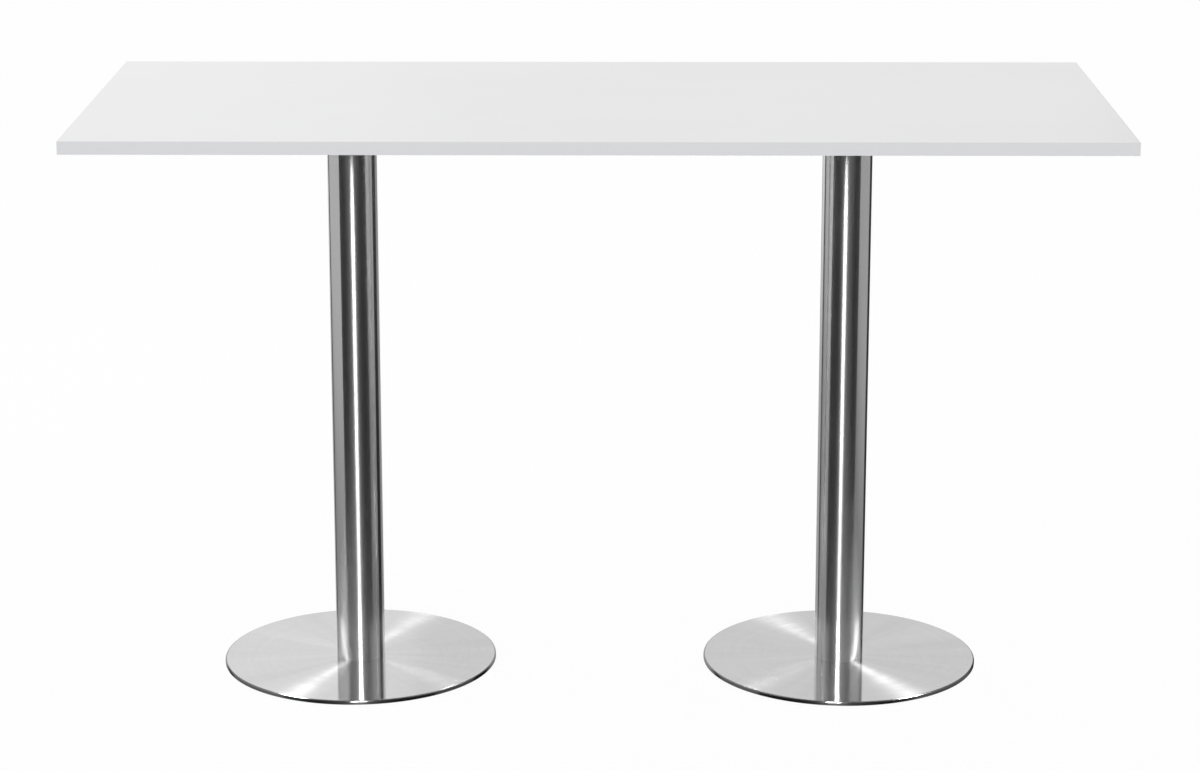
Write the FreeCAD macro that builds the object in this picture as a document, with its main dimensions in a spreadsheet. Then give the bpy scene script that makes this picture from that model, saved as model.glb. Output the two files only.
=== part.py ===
import FreeCAD, Part
import os

import Sketcher

# A standing-height table: one laminated top on two round pedestals. Each pedestal is a
# tube that a tie rod pulls between a weighted disc foot and a cast spider under the top.
# The origin is on the floor under the middle of the top, +X along the top, +Y to its back.

# Driving sizes, in millimetres. Any one of them can be changed by itself.
SIZES = {
    # the top, and its height above the floor
    "table_height": 1050.0,
    "top_length": 1800.0,
    "top_depth": 800.0,
    "core_thickness": 21.0,
    "laminate_thickness": 0.8,
    "band_thickness": 2.0,
    "band_arris": 0.8,
    # the columns
    "column_spacing": 885.0,
    "column_diameter": 88.9,
    "column_wall": 1.5,
    # the foot: a spun shell with a rolled hem over a steel plate
    "foot_diameter": 500.0,
    "foot_clearance": 0.4,
    "cover_sheet": 0.8,
    "cover_shoulder": 2.5,
    "cover_hem": 7.0,
    "hem_bend": 1.2,
    "plate_thickness": 6.0,
    "plate_gap": 0.3,
    # the hub that clamps the shell and centres the column
    "hub_height": 24.0,
    "hub_neck_diameter": 70.0,
    "hub_neck_gap": 0.3,
    "hub_fit": 0.15,
    "hub_chamfer": 2.0,
    # the countersunk screws between plate and hub
    "hub_screw_circle": 52.0,
    "hub_screw_diameter": 8.0,
    "hub_screw_head": 15.6,
    "hub_screw_sink": 0.2,
    "hub_screw_seat_gap": 0.1,
    "hub_screw_length": 16.0,
    "hub_screw_key": 5.0,
    "hub_screw_key_depth": 2.6,
    "hub_screw_tip_gap": 2.0,
    "screw_hole_gap": 0.4,
    # the tie rod with its nut and washer
    "rod_diameter": 12.0,
    "rod_below": 4.0,
    "rod_above_nut": 3.0,
    "rod_chamfer": 1.2,
    "rod_hole_gap": 0.5,
    "nut_across_flats": 18.0,
    "nut_height": 10.0,
    "washer_diameter": 24.0,
    "washer_thickness": 2.5,
    # the spider's hub
    "spider_flange": 6.0,
    "socket_depth": 24.0,
    "socket_wall": 5.5,
    "socket_gap": 0.3,
    "boss_diameter": 50.0,
    "pocket_diameter": 34.0,
    "pocket_depth": 18.0,
    "pocket_floor": 5.0,
    # the spider's arms: open channels that taper to a round pad
    "arm_root": 20.0,
    "arm_root_width": 58.0,
    "arm_root_height": 28.0,
    "arm_reach": 205.0,
    "arm_tip_width": 28.0,
    "arm_tip_height": 9.0,
    "arm_wall": 4.0,
    "arm_web": 5.0,
    # the wood screws between spider and top
    "inner_screw_reach": 112.0,
    "screw_diameter": 5.0,
    "screw_length": 20.0,
    "screw_head": 9.5,
    "screw_head_height": 2.6,
    "screw_tip_gap": 1.0,
    # the levelling glides: a stem with a captive flange in a swivelling pad
    "glide_circle": 404.0,
    "pad_diameter": 24.0,
    "pad_height": 3.0,
    "pad_floor": 0.8,
    "pad_chamfer": 0.5,
    "pad_recess_gap": 0.75,
    "pad_key_hole": 5.4,
    "stem_diameter": 8.0,
    "stem_flange_diameter": 12.0,
    "stem_flange_height": 1.2,
    "stem_key": 4.0,
    "stem_key_depth": 2.4,
    "stem_tip_gap": 0.5,
    "swivel_gap": 0.1,
    # radial play of a thread, modelled as a plain shaft in a plain hole
    "thread_play": 0.05,
    # how far a cutting section runs past the face that it opens
    "overrun": 5.0,
}

# Levels above the floor, and sizes that several pieces share.
PANEL = "(Sizes.core_thickness + 2 * Sizes.laminate_thickness)"
UNDERSIDE = f"(Sizes.table_height - {PANEL})"
PLATE_BOTTOM = "(Sizes.foot_clearance + Sizes.cover_sheet)"
PLATE_TOP = f"({PLATE_BOTTOM} + Sizes.plate_thickness)"
FOOT_TOP = f"({PLATE_TOP} + Sizes.cover_sheet)"
TUBE_TOP = f"({UNDERSIDE} - Sizes.spider_flange)"
POCKET_LEVEL = f"({UNDERSIDE} - Sizes.pocket_depth)"
NUT_LEVEL = f"({POCKET_LEVEL} + Sizes.washer_thickness)"
ROD_BOTTOM = f"({PLATE_TOP} + Sizes.rod_below)"
ROD_TOP = f"({NUT_LEVEL} + Sizes.nut_height + Sizes.rod_above_nut)"
TUBE_BORE = "(Sizes.column_diameter - 2 * Sizes.column_wall)"
SOCKET_BORE = "(Sizes.column_diameter + 2 * Sizes.socket_gap)"
ROD_HOLE = "(Sizes.rod_diameter + 2 * Sizes.rod_hole_gap)"
PLAY = "2 * Sizes.thread_play"

SIDES = {"left": -1, "right": 1}
ARM_COUNT = 4
FULL_TURN = 360.0
ARM_TURN = FULL_TURN / ARM_COUNT / 2
ARM_ANGLES = [ARM_TURN + FULL_TURN * arm / ARM_COUNT for arm in range(ARM_COUNT)]
COUNTERSINK = 90.0
SAME_SIZE = 1e-6

UP = FreeCAD.Vector(0, 0, 1)
ORIGIN_INDEX, ACROSS_INDEX, UP_INDEX = -1, -1, -2

doc = FreeCAD.newDocument("HighTable")
sheet = doc.addObject("Spreadsheet::Sheet", "Sizes")
for row, (alias, length) in enumerate(SIZES.items(), start=1):
    sheet.set(f"A{row}", alias)
    sheet.set(f"B{row}", str(length))
    sheet.setAlias(f"B{row}", alias)
doc.recompute()


def number(expression):
    """The present value of an expression."""
    return float(sheet.evalExpression(expression.replace("Sizes.", "")))


def point(across, up):
    """A point of a sketch from two expressions."""
    return FreeCAD.Vector(number(across), number(up), 0)


def place(piece, x="0", y="0", z="0", turn=0.0):
    """Puts a piece where expressions say, turned about the vertical."""
    piece.Placement = FreeCAD.Placement(FreeCAD.Vector(), FreeCAD.Rotation(UP, turn))
    for axis, expression in (("x", x), ("y", y), ("z", z)):
        piece.setExpression(f"Placement.Base.{axis}", expression)


def new_body(label):
    """An empty body."""
    body = doc.addObject("PartDesign::Body", label)
    body.Label = label
    return body


def origin_part(body, role):
    """One of a body's own origin planes or axes."""
    return next(part for part in body.Origin.OriginFeatures if part.Role == role)


def new_sketch(body, name, role="XY_Plane", **offset):
    """A sketch on one of the body's origin planes, moved by expressions."""
    sketch = body.newObject("Sketcher::SketchObject", f"{body.Label}_{name}")
    sketch.AttachmentSupport = [(origin_part(body, role), "")]
    sketch.MapMode = "FlatFace"
    for axis, expression in offset.items():
        sketch.setExpression(f"AttachmentOffset.Base.{axis}", expression)
    return sketch


def bind_point(sketch, geometry, position, across, up):
    """Ties a point of a sketch to its distances from the sketch's origin."""
    for kind, axis, expression in (
        ("DistanceX", UP_INDEX, across),
        ("DistanceY", ACROSS_INDEX, up),
    ):
        if expression == "0":
            rule = Sketcher.Constraint("PointOnObject", geometry, position, axis)
            sketch.addConstraint(rule)
            continue
        rule = Sketcher.Constraint(
            kind, ORIGIN_INDEX, 1, geometry, position, number(expression)
        )
        sketch.setExpression(f"Constraints[{sketch.addConstraint(rule)}]", expression)


def draw_outline(sketch, corners):
    """Draws a closed outline through corners, each a pair of expressions."""
    points = [point(*corner) for corner in corners]
    for start, end in zip(points, points[1:] + points[:1]):
        sketch.addGeometry(Part.LineSegment(start, end))
    for index, corner in enumerate(corners):
        following = (index + 1) % len(corners)
        sketch.addConstraint(Sketcher.Constraint("Coincident", index, 2, following, 1))
        bind_point(sketch, index, 1, *corner)
    return sketch


def draw_circles(sketch, diameter, centres=(("0", "0"),)):
    """Draws circles of one diameter about centres that are pairs of expressions."""
    for centre in centres:
        circle = Part.Circle(point(*centre), UP, number(diameter) / 2)
        index = sketch.addGeometry(circle)
        bind_point(sketch, index, 3, *centre)
        rule = Sketcher.Constraint("Diameter", index, number(diameter))
        sketch.setExpression(f"Constraints[{sketch.addConstraint(rule)}]", diameter)
    return sketch


def draw_hexagon(sketch, across_flats, x="0"):
    """Draws a hexagon about (x, 0) with two of its corners on the axis across."""
    corner, flat = f"{across_flats} / sqrt(3)", f"{across_flats} / 2"
    corners = (
        (f"{x} + {corner}", "0"),
        (f"{x} + {corner} / 2", flat),
        (f"{x} - {corner} / 2", flat),
        (f"{x} - {corner}", "0"),
        (f"{x} - {corner} / 2", f"-{flat}"),
        (f"{x} + {corner} / 2", f"-{flat}"),
    )
    return draw_outline(sketch, corners)


def feature(body, kind, name, sketch=None, **sizes):
    """A feature with its sizes tied to expressions, as the body's new result."""
    made = body.newObject(f"PartDesign::{kind}", f"{body.Label}_{name}")
    if sketch is not None:
        made.Profile = sketch
    for size, expression in sizes.items():
        made.setExpression(size, expression)
    body.Tip = made
    return made


def pad(body, name, sketch, length, downwards=False):
    """Thickens a sketch, upwards unless it says otherwise."""
    made = feature(body, "Pad", name, sketch, Length=length)
    made.Reversed = downwards
    return made


def pocket(body, name, sketch, depth):
    """Cuts a sketch upwards into the body."""
    made = feature(body, "Pocket", name, sketch, Length=depth)
    made.Reversed = True
    return made


def turn(body, kind, name, corners, x="0"):
    """Turns a half section about the vertical line at x, to add or to cut."""
    sketch = new_sketch(body, f"{name}_section", "XZ_Plane", x=x)
    made = feature(body, kind, name, draw_outline(sketch, corners))
    made.ReferenceAxis = (sketch, ["V_Axis"])
    made.Angle = FULL_TURN
    return made


def hole(body, name, sketch, diameter, upwards=False, **cut):
    """Drills through the body, with a sunk mouth where the cut's sizes are given."""
    doc.recompute()
    made = feature(body, "Hole", name, sketch)
    made.DepthType = "ThroughAll"
    made.Reversed = upwards
    made.setExpression("Diameter", diameter)
    if cut:
        made.HoleCutType = cut.pop("kind")
        made.HoleCutCustomValues = True
        for size, expression in cut.items():
            made.setExpression(size, expression)
    return made


def repeat(body, originals, count):
    """Repeats features about the body's vertical axis."""
    made = feature(body, "PolarPattern", "pattern")
    made.Originals = originals
    made.Axis = (origin_part(body, "Z_Axis"), [""])
    made.Angle = FULL_TURN
    made.Occurrences = count
    return made


def dress(body, kind, name, edges_of, size):
    """Rounds or bevels the edges that a test picks from the body's present shape."""
    doc.recompute()
    base = body.Tip
    edges = [
        f"Edge{index}"
        for index, edge in enumerate(base.Shape.Edges, start=1)
        if edges_of(edge)
    ]
    if not edges:
        raise RuntimeError(f"no edge to dress on {body.Label}")
    made = body.newObject(f"PartDesign::{kind}", f"{body.Label}_{name}")
    made.Base = (base, edges)
    made.setExpression("Radius" if kind == "Fillet" else "Size", size)
    body.Tip = made
    return made


def circle_at(diameter, level):
    """A test for the circular edge of a diameter at a level."""

    def test(edge):
        if not isinstance(edge.Curve, Part.Circle):
            return False
        misfit = abs(2 * edge.Curve.Radius - number(diameter))
        return misfit + abs(edge.Curve.Center.z - number(level)) < SAME_SIZE

    return test


def arm_points(reach, side=0):
    """Centres at a reach along the four arms, about a column or the origin."""
    column = f"{side} * Sizes.column_spacing / 2"
    return [
        (f"{column} + {reach} * cos({angle} deg)", f"{reach} * sin({angle} deg)")
        for angle in ARM_ANGLES
    ]


# The top: a core between two laminate sheets, with an edge band on each side.


def panel_sheet(label, thickness, level, hole_diameter=None, hole_depth=None):
    """A rectangle inside the edge bands, drilled from below for the wood screws."""
    body = new_body(label)
    x, y = (f"(Sizes.{side} / 2 - Sizes.band_thickness)" for side in ("top_length", "top_depth"))
    corners = ((f"-{x}", f"-{y}"), (x, f"-{y}"), (x, y), (f"-{x}", y))
    pad(body, "board", draw_outline(new_sketch(body, "outline"), corners), thickness)
    if hole_diameter:
        holes = new_sketch(body, "hole_centres")
        centres = [
            centre
            for side in SIDES.values()
            for reach in ("Sizes.inner_screw_reach", "Sizes.arm_reach")
            for centre in arm_points(reach, side)
        ]
        pocket(body, "holes", draw_circles(holes, hole_diameter, centres), hole_depth)
    place(body, z=level)


panel_sheet(
    "top_balancer",
    "Sizes.laminate_thickness",
    UNDERSIDE,
    "Sizes.screw_diameter + 2 * Sizes.screw_hole_gap",
    "Sizes.laminate_thickness",
)
panel_sheet(
    "top_core",
    "Sizes.core_thickness",
    f"{UNDERSIDE} + Sizes.laminate_thickness",
    "Sizes.screw_diameter",
    "Sizes.screw_length - Sizes.arm_web - Sizes.laminate_thickness + Sizes.screw_tip_gap",
)
panel_sheet(
    "top_laminate",
    "Sizes.laminate_thickness",
    "Sizes.table_height - Sizes.laminate_thickness",
)


def edge_band(label, length, wraps, **where):
    """A band whose outer face is on its own y = 0; a wrapping one shows its two ends."""
    body = new_body(label)
    x = f"({length}) / 2"
    corners = (
        (f"-{x}", "0"),
        (x, "0"),
        (x, "Sizes.band_thickness"),
        (f"-{x}", "Sizes.band_thickness"),
    )
    pad(body, "strip", draw_outline(new_sketch(body, "outline"), corners), PANEL)

    def shows(edge):
        ends = [vertex.Point for vertex in edge.Vertexes]
        outer = [abs(end.y) < SAME_SIZE for end in ends]
        upright = abs(ends[0].z - ends[1].z) > SAME_SIZE
        return any(outer) if wraps else all(outer) and not upright

    dress(body, "Fillet", "arris", shows, "Sizes.band_arris")
    place(body, z=UNDERSIDE, **where)


SHORT_BAND = "Sizes.top_depth - 2 * Sizes.band_thickness"
edge_band("band_front", "Sizes.top_length", True, y="-Sizes.top_depth / 2")
edge_band("band_back", "Sizes.top_length", True, y="Sizes.top_depth / 2", turn=180.0)
edge_band("band_left", SHORT_BAND, False, x="-Sizes.top_length / 2", turn=270.0)
edge_band("band_right", SHORT_BAND, False, x="Sizes.top_length / 2", turn=90.0)


# The foot, from the floor up.


def base_cover(label, column):
    """The spun shell: flat face, rounded shoulder, skirt and a hem under the plate."""
    body = new_body(label)
    rim, inside = "Sizes.foot_diameter / 2", "(Sizes.foot_diameter / 2 - Sizes.cover_sheet)"
    hem = "Sizes.foot_diameter / 2 - Sizes.cover_hem"
    neck = "Sizes.hub_neck_diameter / 2 + Sizes.hub_neck_gap"
    section = (
        (neck, PLATE_TOP),
        (inside, PLATE_TOP),
        (inside, PLATE_BOTTOM),
        (hem, PLATE_BOTTOM),
        (hem, "Sizes.foot_clearance"),
        (rim, "Sizes.foot_clearance"),
        (rim, FOOT_TOP),
        (neck, FOOT_TOP),
    )
    turn(body, "Revolution", "shell", section)
    bends = (
        ("shoulder", "Sizes.foot_diameter", FOOT_TOP, "Sizes.cover_shoulder"),
        (
            "inner_shoulder",
            f"2 * {inside}",
            PLATE_TOP,
            "Sizes.cover_shoulder - Sizes.cover_sheet",
        ),
        ("hem", "Sizes.foot_diameter", "Sizes.foot_clearance", "Sizes.hem_bend"),
    )
    for name, diameter, level, radius in bends:
        dress(body, "Fillet", name, circle_at(diameter, level), radius)
    place(body, x=column)


def base_plate(label, column):
    """The weight plate, bevelled under the shell's shoulder and drilled from below."""
    body = new_body(label)
    rim = "Sizes.foot_diameter - 2 * (Sizes.cover_sheet + Sizes.plate_gap)"
    pad(body, "disc", draw_circles(new_sketch(body, "rim"), rim), "Sizes.plate_thickness")
    bevel = "Sizes.cover_shoulder - Sizes.cover_sheet + Sizes.plate_gap"
    dress(body, "Chamfer", "bevel", circle_at(rim, "Sizes.plate_thickness"), bevel)
    screws = draw_circles(
        new_sketch(body, "screw_centres"),
        "Sizes.hub_screw_diameter",
        arm_points("Sizes.hub_screw_circle / 2"),
    )
    sunk = "Sizes.hub_screw_sink + Sizes.hub_screw_seat_gap"
    hole(
        body,
        "screw_holes",
        screws,
        "Sizes.hub_screw_diameter + 2 * Sizes.screw_hole_gap",
        upwards=True,
        kind="Countersink",
        HoleCutDiameter=f"Sizes.hub_screw_head + 2 * ({sunk})",
        HoleCutCountersinkAngle=f"{COUNTERSINK}",
    )
    glides = draw_circles(
        new_sketch(body, "glide_centres"),
        "Sizes.stem_diameter",
        arm_points("Sizes.glide_circle / 2"),
    )
    hole(
        body,
        "glide_holes",
        glides,
        "Sizes.stem_diameter",
        upwards=True,
        kind="Counterbore",
        HoleCutDiameter="Sizes.pad_diameter + 2 * Sizes.pad_recess_gap",
        HoleCutDepth=f"Sizes.pad_height - {PLATE_BOTTOM}",
    )
    place(body, x=column, z=PLATE_BOTTOM)


def base_hub(label, column):
    """The turned hub, whose neck passes the shell and whose shoulder clamps it."""
    body = new_body(label)
    bore, neck = "Sizes.rod_diameter / 2", "Sizes.hub_neck_diameter / 2"
    body_radius = f"({TUBE_BORE} / 2 - Sizes.hub_fit)"
    section = (
        (bore, "0"),
        (neck, "0"),
        (neck, "Sizes.cover_sheet"),
        (body_radius, "Sizes.cover_sheet"),
        (body_radius, "Sizes.hub_height - Sizes.hub_chamfer"),
        (f"{body_radius} - Sizes.hub_chamfer", "Sizes.hub_height"),
        (bore, "Sizes.hub_height"),
    )
    turn(body, "Revolution", "blank", section)
    centres = draw_circles(
        new_sketch(body, "screw_centres"),
        "Sizes.hub_screw_diameter",
        arm_points("Sizes.hub_screw_circle / 2"),
    )
    reach = "Sizes.hub_screw_length + Sizes.hub_screw_sink - Sizes.plate_thickness"
    pocket(body, "screw_holes", centres, f"{reach} + Sizes.hub_screw_tip_gap")
    place(body, x=column, z=PLATE_TOP)


def hub_screws(label, column):
    """Four countersunk screws with hexagon sockets, heads down."""
    body = new_body(label)
    circle = "Sizes.hub_screw_circle / 2"
    head = "Sizes.hub_screw_head / 2"
    shank = "(Sizes.hub_screw_diameter / 2 - Sizes.thread_play)"
    section = (
        ("0", "0"),
        (head, "0"),
        (shank, f"{head} - {shank}"),
        (shank, "Sizes.hub_screw_length"),
        ("0", "Sizes.hub_screw_length"),
    )
    screw = turn(body, "Revolution", "screw", section, x=circle)
    socket = draw_hexagon(new_sketch(body, "socket"), "Sizes.hub_screw_key", x=circle)
    key = pocket(body, "key", socket, "Sizes.hub_screw_key_depth")
    repeat(body, [screw, key], ARM_COUNT)
    place(
        body, x=column, z=f"{PLATE_BOTTOM} + Sizes.hub_screw_sink", turn=ARM_TURN
    )


# The column and what pulls it tight.


def column_tube(label, column):
    """The column: a plain tube from the foot's face to the spider's flange."""
    body = new_body(label)
    ring = draw_circles(new_sketch(body, "ring"), "Sizes.column_diameter")
    draw_circles(ring, TUBE_BORE)
    pad(body, "tube", ring, f"{TUBE_TOP} - {FOOT_TOP}")
    place(body, x=column, z=FOOT_TOP)


def tie_rod(label, column):
    """The rod from the hub's thread to the nut in the spider's pocket."""
    body = new_body(label)
    radius = "(Sizes.rod_diameter / 2 - Sizes.thread_play)"
    length = f"({ROD_TOP} - {ROD_BOTTOM})"
    section = (
        ("0", "0"),
        (f"{radius} - Sizes.rod_chamfer", "0"),
        (radius, "Sizes.rod_chamfer"),
        (radius, f"{length} - Sizes.rod_chamfer"),
        (f"{radius} - Sizes.rod_chamfer", length),
        ("0", length),
    )
    turn(body, "Revolution", "rod", section)
    place(body, x=column, z=ROD_BOTTOM)


def rod_washer(label, column):
    """The washer on the floor of the spider's pocket."""
    body = new_body(label)
    ring = draw_circles(new_sketch(body, "ring"), "Sizes.washer_diameter")
    draw_circles(ring, ROD_HOLE)
    pad(body, "washer", ring, "Sizes.washer_thickness")
    place(body, x=column, z=POCKET_LEVEL)


def rod_nut(label, column):
    """The hexagon nut on the rod's upper end."""
    body = new_body(label)
    hexagon = draw_hexagon(new_sketch(body, "hexagon"), "Sizes.nut_across_flats")
    draw_circles(hexagon, "Sizes.rod_diameter")
    pad(body, "nut", hexagon, "Sizes.nut_height")
    place(body, x=column, z=NUT_LEVEL)


# The spider: a socket for the tube and four channelled arms, its top face at z = 0.


def arm_section(body, name, x, width, top, bottom):
    """A rectangle across an arm, between two depths below the spider's top."""
    half = f"({width}) / 2"
    corners = (
        (f"-{half}", f"-({bottom})"),
        (half, f"-({bottom})"),
        (half, top),
        (f"-{half}", top),
    )
    return draw_outline(new_sketch(body, name, "YZ_Plane", z=x), corners)


def loft(body, kind, name, sections):
    """A straight-sided loft through sections."""
    made = feature(body, kind, name, sections[0])
    made.Sections = sections[1:]
    made.Ruled = True
    return made


def spider(label, column):
    """The mounting head: lofted arms hollowed to channels, then the hub and its bores."""
    body = new_body(label)
    ends = (
        ("root", "Sizes.arm_root", "Sizes.arm_root_width", "Sizes.arm_root_height"),
        ("tip", "Sizes.arm_reach", "Sizes.arm_tip_width", "Sizes.arm_tip_height"),
    )
    arm = loft(
        body,
        "AdditiveLoft",
        "arm",
        [arm_section(body, f"arm_{end}", x, width, "0", depth) for end, x, width, depth in ends],
    )
    tip_circle = draw_circles(
        new_sketch(body, "tip_circle"), "Sizes.arm_tip_width", [("Sizes.arm_reach", "0")]
    )
    tip = pad(body, "tip", tip_circle, "Sizes.arm_web", downwards=True)
    channel = loft(
        body,
        "SubtractiveLoft",
        "channel",
        [
            arm_section(
                body,
                f"channel_{end}",
                x,
                f"{width} - 2 * Sizes.arm_wall",
                "-Sizes.arm_web",
                f"{depth} + Sizes.overrun",
            )
            for end, x, width, depth in ends
        ],
    )
    screw_centres = draw_circles(
        new_sketch(body, "screw_centres"),
        "Sizes.screw_diameter",
        [("Sizes.inner_screw_reach", "0"), ("Sizes.arm_reach", "0")],
    )
    drilled = hole(
        body,
        "screw_holes",
        screw_centres,
        "Sizes.screw_diameter + 2 * Sizes.screw_hole_gap",
    )
    repeat(body, [arm, tip, channel, drilled], ARM_COUNT)
    socket = f"{SOCKET_BORE} / 2"
    depth = "(Sizes.spider_flange + Sizes.socket_depth)"
    collar = draw_circles(
        new_sketch(body, "collar"), f"{SOCKET_BORE} + 2 * Sizes.socket_wall"
    )
    pad(body, "hub", collar, depth, downwards=True)
    boss, boss_depth = "Sizes.boss_diameter / 2", "(Sizes.pocket_depth + Sizes.pocket_floor)"
    below = f"-({depth} + Sizes.overrun)"
    seat = (
        ("0", f"-{boss_depth}"),
        (boss, f"-{boss_depth}"),
        (boss, "-Sizes.spider_flange"),
        (socket, "-Sizes.spider_flange"),
        (socket, below),
        ("0", below),
    )
    turn(body, "Groove", "tube_seat", seat)
    pocket_wall, bore = "Sizes.pocket_diameter / 2", f"{ROD_HOLE} / 2"
    nut_room = (
        ("0", "Sizes.overrun"),
        (pocket_wall, "Sizes.overrun"),
        (pocket_wall, "-Sizes.pocket_depth"),
        (bore, "-Sizes.pocket_depth"),
        (bore, f"-({boss_depth} + Sizes.overrun)"),
        ("0", f"-({boss_depth} + Sizes.overrun)"),
    )
    turn(body, "Groove", "nut_pocket", nut_room)
    place(body, x=column, z=UNDERSIDE, turn=ARM_TURN)


def top_screws(label, column):
    """Eight wood screws up through the arms, with their flat heads against the web."""
    body = new_body(label)
    centres = [("Sizes.inner_screw_reach", "0"), ("Sizes.arm_reach", "0")]
    heads = pad(
        body,
        "heads",
        draw_circles(new_sketch(body, "head_circles"), "Sizes.screw_head", centres),
        "Sizes.screw_head_height",
        downwards=True,
    )
    shank = f"Sizes.screw_diameter - {PLAY}"
    shanks = pad(
        body,
        "shanks",
        draw_circles(new_sketch(body, "shank_circles"), shank, centres),
        "Sizes.screw_length",
    )
    repeat(body, [heads, shanks], ARM_COUNT)
    place(body, x=column, z=f"{UNDERSIDE} - Sizes.arm_web", turn=ARM_TURN)


# The levelling glides. At rest each pad is screwed right up against the plate.

STEM_BOTTOM = "(Sizes.pad_floor + Sizes.swivel_gap)"


def glide_pad(label, x, y):
    """The swivelling pad, moulded round the stem's flange, with a hole for the key."""
    body = new_body(label)
    key, rim = "Sizes.pad_key_hole / 2", "Sizes.pad_diameter / 2"
    neck = "Sizes.stem_diameter / 2 + Sizes.swivel_gap"
    room = "Sizes.stem_flange_diameter / 2 + Sizes.swivel_gap"
    ceiling = f"{STEM_BOTTOM} + Sizes.stem_flange_height + Sizes.swivel_gap"
    section = (
        (key, "0"),
        (f"{rim} - Sizes.pad_chamfer", "0"),
        (rim, "Sizes.pad_chamfer"),
        (rim, "Sizes.pad_height"),
        (neck, "Sizes.pad_height"),
        (neck, ceiling),
        (room, ceiling),
        (room, "Sizes.pad_floor"),
        (key, "Sizes.pad_floor"),
    )
    turn(body, "Revolution", "pad", section)
    place(body, x=x, y=y)


def glide_stem(label, x, y):
    """The threaded stem, with its captive flange and the socket that turns it."""
    body = new_body(label)
    radius = "Sizes.stem_diameter / 2 - Sizes.thread_play"
    flange = "Sizes.stem_flange_diameter / 2"
    flange_top = f"{STEM_BOTTOM} + Sizes.stem_flange_height"
    tip = f"{PLATE_TOP} - Sizes.stem_tip_gap"
    section = (
        ("0", STEM_BOTTOM),
        (flange, STEM_BOTTOM),
        (flange, flange_top),
        (radius, flange_top),
        (radius, tip),
        ("0", tip),
    )
    turn(body, "Revolution", "stem", section)
    socket = new_sketch(body, "socket", z=STEM_BOTTOM)
    pocket(body, "key", draw_hexagon(socket, "Sizes.stem_key"), "Sizes.stem_key_depth")
    place(body, x=x, y=y)


PEDESTAL = {
    "base_cover": base_cover,
    "base_plate": base_plate,
    "base_hub": base_hub,
    "hub_screws": hub_screws,
    "column_tube": column_tube,
    "tie_rod": tie_rod,
    "rod_washer": rod_washer,
    "rod_nut": rod_nut,
    "spider": spider,
    "top_screws": top_screws,
}

for side_name, side in SIDES.items():
    for piece_name, make in PEDESTAL.items():
        make(f"{side_name}_{piece_name}", f"{side} * Sizes.column_spacing / 2")
    for x, y in arm_points("Sizes.glide_circle / 2", side):
        row_name = "back" if number(y) > 0 else "front"
        outwards = side * number(x) > number("Sizes.column_spacing / 2")
        corner_name = f"{side_name}_{row_name}_{'outer' if outwards else 'inner'}"
        glide_pad(f"{corner_name}_pad", x, y)
        glide_stem(f"{corner_name}_stem", x, y)

doc.recompute()

CUTS = ("Pocket", "Groove", "Hole", "SubtractiveLoft")
for item in doc.Objects:
    if {"Invalid", "Error"} & set(item.State):
        raise RuntimeError(f"{item.Label} failed: {item.State}")
    kind = item.TypeId.split("::")[-1]
    if kind in CUTS and item.Shape.Volume >= item.BaseFeature.Shape.Volume:
        raise RuntimeError(f"{item.Label} cuts nothing")

pieces = [item for item in doc.Objects if item.TypeId == "PartDesign::Body"]
for piece in pieces:
    if piece.Shape.isNull() or not piece.Shape.isValid():
        raise RuntimeError(f"{piece.Label} has no valid shape")

os.makedirs("parts", exist_ok=True)
for piece in pieces:
    piece.Shape.exportStep(f"parts/{piece.Label}.step")
print(f"{len(pieces)} pieces written")
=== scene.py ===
"""High table: a pale laminate top on two round columns of brushed stainless steel.

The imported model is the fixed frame, so every size here is read from it or is the size of a
surface's own detail. Lengths are metres: X runs along the top, Y from front to back, Z upwards.
"""

from __future__ import annotations

import logging
import math
from dataclasses import dataclass, replace
from enum import Enum
from typing import Callable, Iterator, Sequence, Union

import bpy
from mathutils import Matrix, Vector


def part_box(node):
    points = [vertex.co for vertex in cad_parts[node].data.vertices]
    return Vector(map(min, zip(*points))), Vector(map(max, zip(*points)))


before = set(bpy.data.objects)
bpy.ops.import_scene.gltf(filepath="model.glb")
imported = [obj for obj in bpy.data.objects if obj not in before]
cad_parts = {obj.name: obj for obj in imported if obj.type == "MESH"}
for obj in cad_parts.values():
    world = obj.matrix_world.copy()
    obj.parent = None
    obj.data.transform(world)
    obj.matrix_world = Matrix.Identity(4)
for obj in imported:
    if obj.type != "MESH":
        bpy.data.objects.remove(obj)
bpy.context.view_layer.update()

LOG = logging.getLogger("high_table")

Colour = tuple[float, float, float]
Point = tuple[float, float, float]
Plan = tuple[float, float]
Span = tuple[float, float]
Number = Union["Signal", float]
Feed = Union["Signal", float, Sequence[float]]
Settings = dict[str, str]
Sockets = dict[Union[str, int], Feed]

# The squeeze of noise that is alike along all axes.
EVEN: Point = (1.0, 1.0, 1.0)
# What noise mostly stays near.
NOISE_MIDDLE = 0.5
# The width of a hard edge in a mask.
HAIR = 0.00001


def shade(colour: Colour, factor: float) -> Colour:
    """Make a colour darker or lighter by a factor."""
    return tuple(min(1.0, part * factor) for part in colour)


class Side(Enum):
    """The two pedestals, by the side of the table that they stand on."""

    LEFT = "left"
    RIGHT = "right"


class Row(Enum):
    """The two rows of glides under a foot."""

    FRONT = "front"
    BACK = "back"


class Place(Enum):
    """Which glide of a row: away from the other foot or towards it."""

    OUTER = "outer"
    INNER = "inner"


class Edge(Enum):
    """The four edges of the top."""

    FRONT = "front"
    BACK = "back"
    LEFT = "left"
    RIGHT = "right"

    @property
    def is_long(self) -> bool:
        """Tell whether the edge runs along the length of the top."""
        return self in (Edge.FRONT, Edge.BACK)


class Blend(Enum):
    """What a Mix node blends: its data type, the indexes of its two inputs and of its output."""

    COLOURS = ("RGBA", 6, 7, 2)
    VECTORS = ("VECTOR", 4, 5, 1)


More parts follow.
